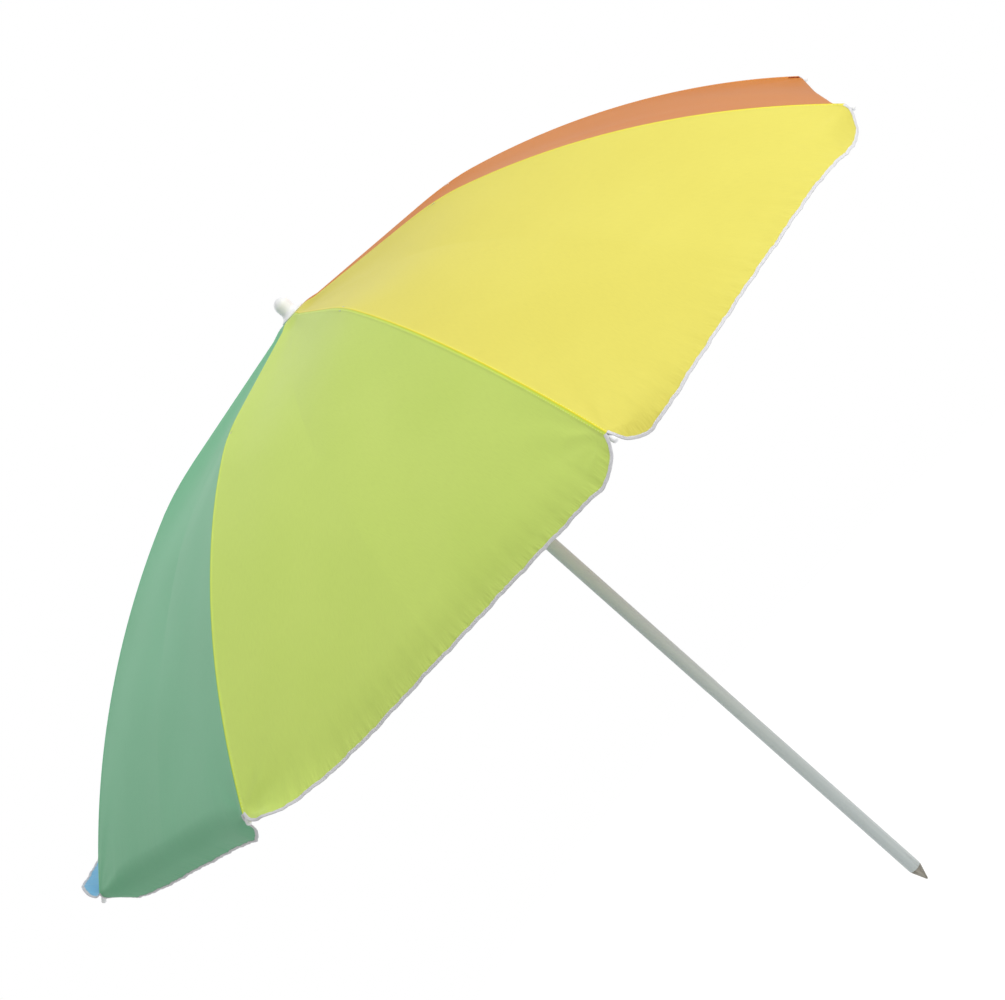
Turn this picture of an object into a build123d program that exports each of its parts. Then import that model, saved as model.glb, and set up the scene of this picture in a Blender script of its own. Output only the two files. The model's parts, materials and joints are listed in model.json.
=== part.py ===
"""Beach umbrella: one steel pole with a ground spike, and an eight-rib folding canopy.

Millimetres, +Z up along the pole, origin at the point of the ground spike.
Rib 1 lies along +X and the ribs are numbered anticlockwise seen from above.
The canopy is modelled open. In a rib's own plane, local x is the distance from
the pole's axis and local y is the height.
"""

from math import atan, cos, degrees, radians, sin, sqrt, tan
import os

from build123d import *

os.makedirs("parts", exist_ok=True)

# ---------------------------------------------------------------- driving dimensions
RIBS = 8
STEP_DEG = 360 / RIBS
HALF_DEG = STEP_DEG / 2

POLE_R = 11.0
POLE_BORE_R = 10.0
SPIKE_LENGTH = 28.0
PLANT_DEPTH = 400.0  # height of the rolled ring that marks how deep the pole goes in
CANOPY_TOP_Z = 1298.0  # where the eight seam lines would meet on the pole's axis

RIB_R = 2.0
STRETCHER_R = 2.4
STRETCHER_NECK_R = 1.9  # slimmer where it enters the runner's slots
STRETCHER_EYE_R = 3.0
STRETCHER_EYE_HALF_WIDTH = 2.65
RIB_SLOPE = 0.135  # fall of the inner rib for each unit of radius
JOINT_RADIUS = 300.0  # where inner rib, outer rib and stretcher meet
OUTER_START_DEG = 17.0  # slope of the outer rib at the joint
OUTER_END_DEG = 44.0  # and at its tip
OUTER_ARC_R = 1236.7
RIDGE_ABOVE_RIB = 6.0  # seam line of the fabric above the rib's centreline

PIVOT_R = 16.0  # radius of the wire rings that the ribs and stretchers hang on
WIRE_R = 0.85
EYE_R = 2.8
EYE_HALF_WIDTH = 2.2
OUTER_EYE_HALF_WIDTH = 2.5
EYE_HOLE_R = 1.1
SLOT_HALF_WIDTH = 2.6
SLOT_LENGTH = 20.0  # cutter for a hub's slot, longer than the hub's rim is deep
CLEAR = 40.0  # cutters reach at least this far past what they cut

STRETCHER_DROP = 8.0  # stretcher pivot below the rib's centreline
EAR_INNER = 3.0
EAR_THICKNESS = 1.0
EAR_R = 3.4
RIVET_R = 0.8
RIVET_BACK = 11.0  # rivet through the inner rib, this far before the joint
BRIDGE_THICKNESS = 0.9  # folded top of the bracket, between its two ears
BRIDGE_LENGTH = 6.0
PIN_HEAD = 0.4  # pins stand this far out of the ears
FLEX_PIN_R = 1.0
STRETCHER_PIN_R = 1.2
PIN_CLEARANCE = 0.05

FABRIC = 0.8
FABRIC_EDGE_R = 9.0  # the gores' section starts this near the axis, inside the hole
FABRIC_HOLE_R = 11.6
SEAM_GAP = 0.15
FLAP_DEPTH = 28.0  # hem past the straight line between two rib tips
FLAP_CORNER = 56.0  # length of the flap's rounded corner along the hem

# ---------------------------------------------------------------- derived geometry
RIB_SLOPE_DEG = degrees(atan(RIB_SLOPE))
rib_top_z = CANOPY_TOP_Z - RIDGE_ABOVE_RIB * sqrt(1 + RIB_SLOPE**2)
along = (cos(radians(RIB_SLOPE_DEG)), -sin(radians(RIB_SLOPE_DEG)))  # outwards
below = (along[1], -along[0])

crown_pivot = (PIVOT_R, rib_top_z - RIB_SLOPE * PIVOT_R)
rib_joint = (JOINT_RADIUS, rib_top_z - RIB_SLOPE * JOINT_RADIUS)
arc_centre = (
    rib_joint[0] - OUTER_ARC_R * sin(radians(OUTER_START_DEG)),
    rib_joint[1] - OUTER_ARC_R * cos(radians(OUTER_START_DEG)),
)
stretcher_pivot = (
    rib_joint[0] + below[0] * STRETCHER_DROP,
    rib_joint[1] + below[1] * STRETCHER_DROP,
)
# equal arms: the runner pivot mirrors the crown pivot about the stretcher pivot's height
runner_pivot = (PIVOT_R, 2 * stretcher_pivot[1] - crown_pivot[1])


def moved(point, along_rib, down=0.0):
    """A point shifted along the inner rib, and down square to it."""
    return (
        point[0] + along[0] * along_rib + below[0] * down,
        point[1] + along[1] * along_rib + below[1] * down,
    )


def on_arc(angle_deg, radius):
    """A point on the outer rib's curve, or on a curve parallel to it."""
    a = radians(angle_deg)
    return (arc_centre[0] + radius * sin(a), arc_centre[1] + radius * cos(a))


def rib_plane(number):
    """Vertical plane through the pole's axis and rib number: x outwards, y up."""
    a = radians(STEP_DEG * (number - 1))
    return Plane(origin=(0, 0, 0), x_dir=(cos(a), sin(a), 0), z_dir=(sin(a), -cos(a), 0))


def gore_plane(number, height):
    """Level plane whose x runs out along the middle of the panel after rib number."""
    a = radians(STEP_DEG * (number - 1) + HALF_DEG)
    return Plane(origin=(0, 0, height), x_dir=(cos(a), sin(a), 0), z_dir=(0, 0, 1))


def save(piece, name):
    piece.part.label = name
    export_step(piece.part, f"parts/{name}.step")


# ---------------------------------------------------------------- catch and runner heights
RUNNER_HEAD_UP = 6.0
RUNNER_HEAD_DOWN = 4.5
RUNNER_SLEEVE_END = 46.0
runner_top_z = runner_pivot[1] + RUNNER_HEAD_UP
runner_bottom_z = runner_pivot[1] - RUNNER_SLEEVE_END
CATCH_GAP = 0.3
catch_top_z = runner_bottom_z - CATCH_GAP
CATCH_AZIMUTH = 112.5
CATCH_THICKNESS = 3.0
CATCH_SLOT_WIDTH = 3.6
CATCH_SLOT_HEIGHT = 27.0
CATCH_SLOT_UP = 1.0  # the slot's straight part starts this far above the catch
CATCH_LENGTH = 48.0

CROWN_UP = 3.4
CROWN_DOWN = 7.0
CROWN_SKIRT = 14.0
PIN_R = 1.5
PIN_FIT = 0.02
PIN_AZIMUTH = 22.5
crown_pin_z = crown_pivot[1] - CROWN_DOWN - CROWN_SKIRT / 2
STOP_GAP = 0.1
stop_pin_z = runner_top_z + STOP_GAP + PIN_R

FLANGE_BOTTOM = -1.2  # finial flange underside, from the canopy's top height
pole_top_z = CANOPY_TOP_Z + FLANGE_BOTTOM


def side_plane(azimuth_deg, height):
    """Upright plane facing outwards at an azimuth, for cross pins and slots."""
    a = radians(azimuth_deg)
    return Plane(origin=(0, 0, height), x_dir=(-sin(a), cos(a), 0), z_dir=(cos(a), sin(a), 0))


# ---------------------------------------------------------------- pole
RING_DEPTH = 0.25
RING_WIDTH = 1.6
CHAMFER = 0.4
with BuildPart() as pole_tube:
    with BuildSketch(Plane.XY.offset(SPIKE_LENGTH)):
        Circle(POLE_R)
        Circle(POLE_BORE_R, mode=Mode.SUBTRACT)
    extrude(amount=pole_top_z - SPIKE_LENGTH)
    with BuildSketch(Plane.XY.offset(PLANT_DEPTH)):
        Circle(POLE_R + RING_WIDTH)
        Circle(POLE_R - RING_DEPTH, mode=Mode.SUBTRACT)
    extrude(amount=RING_WIDTH, mode=Mode.SUBTRACT)
    for height in (crown_pin_z, stop_pin_z):
        with BuildSketch(side_plane(PIN_AZIMUTH, height)):
            Circle(PIN_R + PIN_FIT)
        extrude(amount=2 * POLE_R, both=True, mode=Mode.SUBTRACT)
    with BuildSketch(side_plane(CATCH_AZIMUTH, catch_top_z + CATCH_SLOT_UP - CATCH_SLOT_HEIGHT / 2)):
        SlotOverall(CATCH_SLOT_HEIGHT + CATCH_SLOT_WIDTH, CATCH_SLOT_WIDTH, rotation=90)
    extrude(amount=2 * POLE_R, mode=Mode.SUBTRACT)
save(pole_tube, "pole_tube")

# ---------------------------------------------------------------- ground spike
SPIKE_BASE_R = 10.1
SPIKE_PLUG = 34.0
PLUG_R = POLE_BORE_R - 0.03
SPIKE_TIP_R = 0.9
SPIKE_NOSE = (1.8, 1.6)  # radius and height where the blunt nose meets the cone
SPIKE_LAND = 3.0  # straight band under the tube's end
PLUG_LEAD = 1.0
with BuildPart() as ground_spike:
    with BuildSketch(Plane.XZ):
        with BuildLine():
            Polyline(
                (0, 0),
                (SPIKE_TIP_R, 0),
                SPIKE_NOSE,
                (SPIKE_BASE_R, SPIKE_LENGTH - SPIKE_LAND),
                (SPIKE_BASE_R, SPIKE_LENGTH),
                (PLUG_R, SPIKE_LENGTH),
                (PLUG_R, SPIKE_LENGTH + SPIKE_PLUG - PLUG_LEAD),
                (PLUG_R - PLUG_LEAD, SPIKE_LENGTH + SPIKE_PLUG),
                (0, SPIKE_LENGTH + SPIKE_PLUG),
                close=True,
            )
        make_face()
    revolve(axis=Axis.Z)
save(ground_spike, "ground_spike")

# ---------------------------------------------------------------- finial
FLANGE_R = 21.0
FLANGE_EDGE = 1.8  # height of the flange's rim
FLANGE_ROUND = 0.6
DOME_R = 12.6
DOME_TOP = 31.0  # above the canopy's top height
FLARE_TOP = 9.5  # where the concave flare runs into the dome's side
STEM_LENGTH = 16.0
dome_centre_z = CANOPY_TOP_Z + DOME_TOP - DOME_R
flare_r = (FLANGE_R - DOME_R + FLARE_TOP - FLANGE_EDGE) / 2
with BuildPart() as finial_cap:
    with BuildSketch(Plane.XZ):
        with BuildLine():
            Polyline(
                (0, pole_top_z - STEM_LENGTH),
                (PLUG_R, pole_top_z - STEM_LENGTH),
                (PLUG_R, pole_top_z),
                (FLANGE_R - FLANGE_ROUND, pole_top_z),
                (FLANGE_R, pole_top_z + FLANGE_ROUND),
                (FLANGE_R, pole_top_z + FLANGE_EDGE),
            )
            ThreePointArc(
                (FLANGE_R, pole_top_z + FLANGE_EDGE),
                (DOME_R + flare_r * 0.34, pole_top_z + FLANGE_EDGE + flare_r * 0.34),
                (DOME_R, pole_top_z + FLARE_TOP),
            )
            Line((DOME_R, pole_top_z + FLARE_TOP), (DOME_R, dome_centre_z))
            CenterArc((0, dome_centre_z), DOME_R, 0, 90)
            Line((0, CANOPY_TOP_Z + DOME_TOP), (0, pole_top_z - STEM_LENGTH))
        make_face()
    revolve(axis=Axis.Z)
save(finial_cap, "finial_cap")

# ---------------------------------------------------------------- crown hub
HUB_R = 21.0
HUB_CORE_R = 12.8
HUB_EDGE_ROUND = 2.5
SKIRT_R = 13.5
CROWN_BORE_R = POLE_R + 0.02
with BuildPart() as crown_hub:
    with BuildSketch(Plane.XY.offset(crown_pivot[1] - CROWN_DOWN)):
        Circle(HUB_R)
    extrude(amount=CROWN_DOWN + CROWN_UP)
    fillet(crown_hub.edges().filter_by(GeomType.CIRCLE).sort_by(Axis.Z)[0], HUB_EDGE_ROUND)
    for number in range(1, RIBS + 1):
        with BuildSketch(rib_plane(number)):
            with Locations((HUB_CORE_R + SLOT_LENGTH / 2, crown_pivot[1])):
                Rectangle(SLOT_LENGTH, CLEAR)
        extrude(amount=SLOT_HALF_WIDTH, both=True, mode=Mode.SUBTRACT)
    with BuildSketch(Plane.XY.offset(crown_pivot[1] - CROWN_DOWN - CROWN_SKIRT)):
        Circle(SKIRT_R)
    extrude(amount=CROWN_SKIRT + 1)
    with BuildSketch(Plane.XY.offset(crown_pivot[1] - CLEAR)):
        Circle(CROWN_BORE_R)
    extrude(amount=2 * CLEAR, mode=Mode.SUBTRACT)
    with BuildSketch(rib_plane(1)):
        with Locations(crown_pivot):
            Circle(WIRE_R + PIN_FIT)
    revolve(axis=Axis.Z, mode=Mode.SUBTRACT)
    with BuildSketch(side_plane(PIN_AZIMUTH, crown_pin_z)):
        Circle(PIN_R + PIN_FIT)
    extrude(amount=2 * POLE_R, both=True, mode=Mode.SUBTRACT)
save(crown_hub, "crown_hub")


def wire_ring(pivot, name):
    """Wire ring that eight eyes hang on."""
    with BuildPart() as ring:
        with BuildSketch(Plane.XZ):
            with Locations(pivot):
                Circle(WIRE_R)
        revolve(axis=Axis.Z)
    save(ring, name)


wire_ring(crown_pivot, "crown_wire")
wire_ring(runner_pivot, "runner_wire")


def cross_pin(height, reach, name):
    """Straight pin through the pole, its ends slightly rounded."""
    with BuildPart() as pin:
        with BuildSketch(side_plane(PIN_AZIMUTH, height)):
            Circle(PIN_R)
        extrude(amount=reach, both=True)
        chamfer(pin.edges().filter_by(GeomType.CIRCLE), CHAMFER)
    save(pin, name)


cross_pin(crown_pin_z, SKIRT_R + PIN_HEAD, "crown_pin")
cross_pin(stop_pin_z, SKIRT_R, "stop_pin")

WASHER_TOP = -3.75
WASHER_THICKNESS = 0.9
WASHER_R = 17.0
WASHER_BORE_R = 11.22
with BuildPart() as canopy_washer:
    with BuildSketch(Plane.XY.offset(CANOPY_TOP_Z + WASHER_TOP - WASHER_THICKNESS)):
        Circle(WASHER_R)
        Circle(WASHER_BORE_R, mode=Mode.SUBTRACT)
    extrude(amount=WASHER_THICKNESS)
save(canopy_washer, "canopy_washer")

# ---------------------------------------------------------------- runner
RUNNER_BORE_R = 11.3
GRIP_R = 17.0
GRIP_HEIGHT = 5.0
GRIP_ROUND = 1.5
RUNNER_SLEEVE_R = 13.8
with BuildPart() as runner:
    with BuildSketch(Plane.XY.offset(runner_pivot[1] - RUNNER_HEAD_DOWN)):
        Circle(HUB_R)
    extrude(amount=RUNNER_HEAD_DOWN + RUNNER_HEAD_UP)
    for number in range(1, RIBS + 1):
        with BuildSketch(rib_plane(number)):
            with Locations((HUB_CORE_R + SLOT_LENGTH / 2, runner_pivot[1])):
                Rectangle(SLOT_LENGTH, CLEAR)
        extrude(amount=SLOT_HALF_WIDTH, both=True, mode=Mode.SUBTRACT)
    with BuildSketch(Plane.XY.offset(runner_bottom_z)):
        Circle(RUNNER_SLEEVE_R)
    extrude(amount=RUNNER_SLEEVE_END - RUNNER_HEAD_DOWN)
    with BuildSketch(Plane.XY.offset(runner_bottom_z)):
        Circle(GRIP_R)
    extrude(amount=GRIP_HEIGHT)
    grip_edges = runner.edges().filter_by(GeomType.CIRCLE).group_by(Axis.Z)[0]
    fillet(grip_edges.sort_by(SortBy.RADIUS)[-1], GRIP_ROUND)
    with BuildSketch(Plane.XY.offset(runner_bottom_z - CLEAR / 2)):
        Circle(RUNNER_BORE_R)
    extrude(amount=RUNNER_SLEEVE_END + CLEAR, mode=Mode.SUBTRACT)
    with BuildSketch(rib_plane(1)):
        with Locations(runner_pivot):
            Circle(WIRE_R + PIN_FIT)
    revolve(axis=Axis.Z, mode=Mode.SUBTRACT)
save(runner, "runner")

# ---------------------------------------------------------------- catch spring
CATCH_NOSE_R = 15.2  # how far out the nose stands at rest
CATCH_NOSE_HEIGHT = 3.0
CATCH_STRIP = 1.4  # thickness of the bent strip
CATCH_INNER = 6.4  # end of the top leg inside the pole
CATCH_SPINE = 8.6  # outer face of the leg that runs down inside the pole
CATCH_KNEE = 24.0
catch_azimuth = radians(CATCH_AZIMUTH)
catch_plane = Plane(
    origin=(0, 0, catch_top_z),
    x_dir=(cos(catch_azimuth), sin(catch_azimuth), 0),
    z_dir=(sin(catch_azimuth), -cos(catch_azimuth), 0),
)
with BuildPart() as catch_spring:
    with BuildSketch(catch_plane):
        with BuildLine():
            Polyline(
                (CATCH_INNER, 0),
                (CATCH_NOSE_R, 0),
                (CATCH_NOSE_R, -CATCH_NOSE_HEIGHT),
                (CATCH_SPINE, -CATCH_KNEE),
                (CATCH_SPINE, -CATCH_LENGTH),
                (CATCH_SPINE - CATCH_STRIP, -CATCH_LENGTH),
                (CATCH_SPINE - CATCH_STRIP, -CATCH_KNEE),
                (CATCH_NOSE_R - CATCH_STRIP, -CATCH_NOSE_HEIGHT),
                (CATCH_NOSE_R - CATCH_STRIP, -CATCH_STRIP),
                (CATCH_INNER, -CATCH_STRIP),
                close=True,
            )
        make_face()
    extrude(amount=CATCH_THICKNESS / 2, both=True)
save(catch_spring, "catch_spring")

# ---------------------------------------------------------------- ribs, joints and stretchers
rivet = moved(rib_joint, -RIVET_BACK)
END_GAP = 0.6  # between the inner rib's end and the outer rib's eye
inner_rib_end = moved(rib_joint, -EYE_R - END_GAP)
tip_point = on_arc(OUTER_END_DEG, OUTER_ARC_R)
CAP_R = 3.6
CAP_BACK = 8.0
CAP_FORWARD = 15.0
CAP_BORE_R = 2.14
CAP_END_GAP = 0.3
NECK_LENGTH = 8.0  # slim part of a stretcher beside the runner


def make_inner_rib(number):
    """Straight wire from an eye on the crown wire to the rivet in the joint bracket."""
    with BuildPart() as rib:
        with BuildSketch(Plane(
            origin=rib_plane(number).from_local_coords(Vector(*crown_pivot, 0)),
            z_dir=rib_plane(number).from_local_coords(Vector(*along, 0)),
        )):
            Circle(RIB_R)
        extrude(amount=(inner_rib_end[0] - crown_pivot[0]) / along[0])
        with BuildSketch(rib_plane(number)):
            with Locations(crown_pivot):
                Circle(EYE_R)
        extrude(amount=EYE_HALF_WIDTH, both=True)
        with BuildSketch(rib_plane(number)):
            with Locations(crown_pivot):
                Circle(EYE_HOLE_R)
            with Locations(rivet):
                Circle(RIVET_R + PIN_FIT)
        extrude(amount=CLEAR, both=True, mode=Mode.SUBTRACT)
    save(rib, f"rib_inner_{number}")


def make_joint(number):
    """Two riveted ear plates and a bridge, which join both ribs and the stretcher."""
    with BuildPart() as joint:
        for start in (EAR_INNER, -EAR_INNER - EAR_THICKNESS):
            with BuildSketch(rib_plane(number).offset(start)):
                for centre in (rivet, rib_joint, stretcher_pivot):
                    with Locations(centre):
                        Circle(EAR_R)
                make_hull()
            extrude(amount=EAR_THICKNESS)
        with BuildSketch(rib_plane(number)):
            with Locations(moved(rivet, 0, -RIB_R - BRIDGE_THICKNESS)):
                Rectangle(BRIDGE_LENGTH, BRIDGE_THICKNESS, rotation=-RIB_SLOPE_DEG)
        extrude(amount=EAR_INNER + EAR_THICKNESS / 2, both=True)
        for centre, radius in (
            (rivet, RIVET_R),
            (rib_joint, FLEX_PIN_R),
            (stretcher_pivot, STRETCHER_PIN_R),
        ):
            with BuildSketch(rib_plane(number)):
                with Locations(centre):
                    Circle(radius)
            extrude(amount=EAR_INNER + EAR_THICKNESS + PIN_HEAD, both=True)
    save(joint, f"rib_joint_{number}")


def make_outer_rib(number):
    """Bowed wire from the joint bracket to the rib tip."""
    with BuildPart() as rib:
        with BuildLine(rib_plane(number)) as path:
            CenterArc(arc_centre, OUTER_ARC_R, 90 - OUTER_START_DEG, OUTER_START_DEG - OUTER_END_DEG)
        with BuildSketch(path.line ^ 0):
            Circle(RIB_R)
        sweep()
        with BuildSketch(rib_plane(number)):
            with Locations(rib_joint):
                Circle(EYE_R)
        extrude(amount=OUTER_EYE_HALF_WIDTH, both=True)
        with BuildSketch(rib_plane(number)):
            with Locations(rib_joint):
                Circle(FLEX_PIN_R + PIN_CLEARANCE)
        extrude(amount=CLEAR, both=True, mode=Mode.SUBTRACT)
    save(rib, f"rib_outer_{number}")


def make_tip(number):
    """Plastic cap on the rib's end, with a round nose."""
    end_dir = (cos(radians(OUTER_END_DEG)), -sin(radians(OUTER_END_DEG)))
    start = (tip_point[0] - CAP_BACK * end_dir[0], tip_point[1] - CAP_BACK * end_dir[1])
    plane = Plane(
        origin=rib_plane(number).from_local_coords(Vector(*start, 0)),
        z_dir=rib_plane(number).from_local_coords(Vector(*end_dir, 0)),
    )
    with BuildPart() as tip:
        with BuildSketch(plane):
            Circle(CAP_R)
        extrude(amount=CAP_BACK + CAP_FORWARD)
        rims = tip.edges().filter_by(GeomType.CIRCLE).sort_by(Axis(plane.origin, plane.z_dir))
        fillet(rims[-1], CAP_R - 1)
        with BuildSketch(plane):
            Circle(CAP_BORE_R)
        extrude(amount=CAP_BACK + CAP_END_GAP, mode=Mode.SUBTRACT)
    save(tip, f"rib_tip_{number}")


def make_stretcher(number):
    """Stretcher rod from the joint bracket to the runner wire."""
    plane = rib_plane(number)
    run = (stretcher_pivot[0] - runner_pivot[0], stretcher_pivot[1] - runner_pivot[1])
    length = sqrt(run[0] ** 2 + run[1] ** 2)
    with BuildPart() as stretcher:
        for start, radius in ((0, STRETCHER_NECK_R), (NECK_LENGTH, STRETCHER_R)):
            x = runner_pivot[0] + run[0] * start / length
            y = runner_pivot[1] + run[1] * start / length
            with BuildSketch(Plane(
                origin=plane.from_local_coords(Vector(x, y, 0)),
                z_dir=plane.from_local_coords(Vector(*run, 0)),
            )):
                Circle(radius)
            extrude(amount=length - start)
        for centre, radius, half in (
            (runner_pivot, EYE_R, EYE_HALF_WIDTH),
            (stretcher_pivot, STRETCHER_EYE_R, STRETCHER_EYE_HALF_WIDTH),
        ):
            with BuildSketch(plane):
                with Locations(centre):
                    Circle(radius)
            extrude(amount=half, both=True)
        with BuildSketch(plane):
            with Locations(runner_pivot):
                Circle(EYE_HOLE_R)
            with Locations(stretcher_pivot):
                Circle(STRETCHER_PIN_R + PIN_CLEARANCE)
        extrude(amount=CLEAR, both=True, mode=Mode.SUBTRACT)
    save(stretcher, f"stretcher_{number}")


for number in range(1, RIBS + 1):
    make_inner_rib(number)
    make_joint(number)
    make_outer_rib(number)
    make_tip(number)
    make_stretcher(number)

# ---------------------------------------------------------------- canopy panels
PANELS = ("red", "violet", "indigo", "blue", "green", "lime", "yellow", "orange")
FLATTEN = cos(radians(HALF_DEG))  # mid-panel radius for each unit of radius along a rib
RIDGE_R = OUTER_ARC_R + RIDGE_ABOVE_RIB
HEM_DEG = 46.9  # slope of the fabric at the flap's hem
ARC_POINTS = 7
tip_radius = on_arc(OUTER_END_DEG, RIDGE_R)[0]
tip_x = tip_radius * FLATTEN
tip_y = tip_radius * sin(radians(HALF_DEG)) - SEAM_GAP
gore_point = (SEAM_GAP / tan(radians(HALF_DEG)), 0)


def panel_side(thickness):
    """The arc part of the panel's section, this far below the seam line."""
    points = []
    for i in range(ARC_POINTS):
        angle = OUTER_START_DEG + (HEM_DEG - OUTER_START_DEG) * i / (ARC_POINTS - 1)
        r, z = on_arc(angle, RIDGE_R - thickness)
        points.append((r * FLATTEN, z))
    return points


def make_panel(number, colour):
    """One gore: level across between its two ribs, bowed along them, with a hem flap."""
    outer = panel_side(0)
    inner = panel_side(FABRIC)
    with BuildPart() as panel:
        a = radians(STEP_DEG * (number - 1) + HALF_DEG)
        middle = Plane(origin=(0, 0, 0), x_dir=(cos(a), sin(a), 0), z_dir=(sin(a), -cos(a), 0))
        with BuildSketch(middle):
            with BuildLine():
                start = (FABRIC_EDGE_R * FLATTEN, CANOPY_TOP_Z - RIB_SLOPE * FABRIC_EDGE_R)
                Line(start, outer[0])
                Spline(*outer)
                Line(outer[-1], inner[-1])
                Spline(*inner)
                Polyline(inner[0], (start[0], start[1] - FABRIC), start)
            make_face()
        extrude(amount=tip_y + CLEAR, both=True)
        with BuildSketch(gore_plane(number, 0)):
            with BuildLine():
                Line(gore_point, (tip_x, -tip_y))
                EllipticalCenterArc(
                    center=(tip_x, -tip_y + FLAP_CORNER),
                    x_radius=FLAP_DEPTH,
                    y_radius=FLAP_CORNER,
                    start_angle=270,
                    arc_size=90,
                )
                Line((tip_x + FLAP_DEPTH, -tip_y + FLAP_CORNER), (tip_x + FLAP_DEPTH, tip_y - FLAP_CORNER))
                EllipticalCenterArc(
                    center=(tip_x, tip_y - FLAP_CORNER),
                    x_radius=FLAP_DEPTH,
                    y_radius=FLAP_CORNER,
                    start_angle=0,
                    arc_size=90,
                )
                Line((tip_x, tip_y), gore_point)
            make_face()
        extrude(amount=CANOPY_TOP_Z + CLEAR, mode=Mode.INTERSECT)
        with BuildSketch(Plane.XY.offset(CANOPY_TOP_Z - CLEAR)):
            Circle(FABRIC_HOLE_R)
        extrude(amount=2 * CLEAR, mode=Mode.SUBTRACT)
    save(panel, f"panel_{colour}")


for number, colour in enumerate(PANELS, start=1):
    make_panel(number, colour)
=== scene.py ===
"""Looks for the beach umbrella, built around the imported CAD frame.

Metres, in the CAD model's own frame: +Z up along the pole, rib 1 along +X, ribs
numbered anticlockwise seen from above. The canopy is eight gores. Each gore is
sewn to the rib on either side of it, and is made as two halves that meet on its
middle line. Each half is in two pieces, which meet above the knee of its rib,
so that every piece moves with the rib that carries it.
"""

import json
import math

import bmesh
import bpy
import numpy as np
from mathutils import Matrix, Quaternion, Vector


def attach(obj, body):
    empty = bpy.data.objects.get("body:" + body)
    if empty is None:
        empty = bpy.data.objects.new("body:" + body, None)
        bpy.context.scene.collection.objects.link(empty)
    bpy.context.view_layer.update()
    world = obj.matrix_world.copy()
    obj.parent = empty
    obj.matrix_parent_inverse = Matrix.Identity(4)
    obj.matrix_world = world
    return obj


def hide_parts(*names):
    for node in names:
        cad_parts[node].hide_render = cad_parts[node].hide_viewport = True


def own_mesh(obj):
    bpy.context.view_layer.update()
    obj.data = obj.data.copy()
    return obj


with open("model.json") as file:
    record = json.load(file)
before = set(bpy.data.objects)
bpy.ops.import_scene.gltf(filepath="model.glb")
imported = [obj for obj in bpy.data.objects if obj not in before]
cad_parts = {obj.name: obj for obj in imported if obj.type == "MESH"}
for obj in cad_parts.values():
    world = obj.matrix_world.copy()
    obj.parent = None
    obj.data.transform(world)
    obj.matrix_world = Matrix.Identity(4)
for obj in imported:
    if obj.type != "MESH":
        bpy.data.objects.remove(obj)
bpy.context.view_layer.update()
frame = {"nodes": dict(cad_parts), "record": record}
bpy.context.scene.view_settings.view_transform = "Standard"

# ---------------------------------------------------------------- driving dimensions
RIBS = 8
STEP = 2 * math.pi / RIBS
HALF = STEP / 2
COLOURS = ("red", "violet", "indigo", "blue", "green", "lime", "yellow", "orange")

CANOPY_TOP = 1.298  # the seam lines would meet here on the pole's axis
SLOPE = 0.135  # fall of the seam line inside the knees
KNEE = 0.300  # radius of the ribs' knees
KNEE_DEG = 17.0  # slope of the outer rib at its knee
TIP_DEG = 44.0  # and at its tip
RIB_ARC = 1.2367  # radius of the outer rib's bow
RIDGE_UP = 0.006  # seam line above the rib's centreline
HOLE = 0.0118  # hole in the fabric round the pole
CLAMP_R = 0.0215  # the finial's flange holds the cloth flat out to here
CLAMP_DROP = 0.0013  # this far under the top
CLAMP_FADE = 0.050  # and the cloth leaves for the ribs by here

FLAP_DEPTH = 0.028  # the hem hangs this far past the line between two rib tips
FLAP_CORNER = 0.056  # length of its rounded corner along the hem
CLOTH = 0.00045
SAG = 0.009  # the middle of a gore hangs this far inside the seams
CREASE_RIB = 0.008  # softening of the bend above the knees, at a seam
CREASE_MIDDLE = 0.034  # and at the middle of a gore

knee_z = CANOPY_TOP - RIDGE_UP * math.hypot(1, SLOPE) - SLOPE * KNEE
arc_x = KNEE - RIB_ARC * math.sin(math.radians(KNEE_DEG))
arc_z = knee_z - RIB_ARC * math.cos(math.radians(KNEE_DEG))
RIDGE_ARC = RIB_ARC + RIDGE_UP
tip_r = arc_x + RIDGE_ARC * math.sin(math.radians(TIP_DEG))
tip_x, tip_y = tip_r * math.cos(HALF), tip_r * math.sin(HALF)


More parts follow.
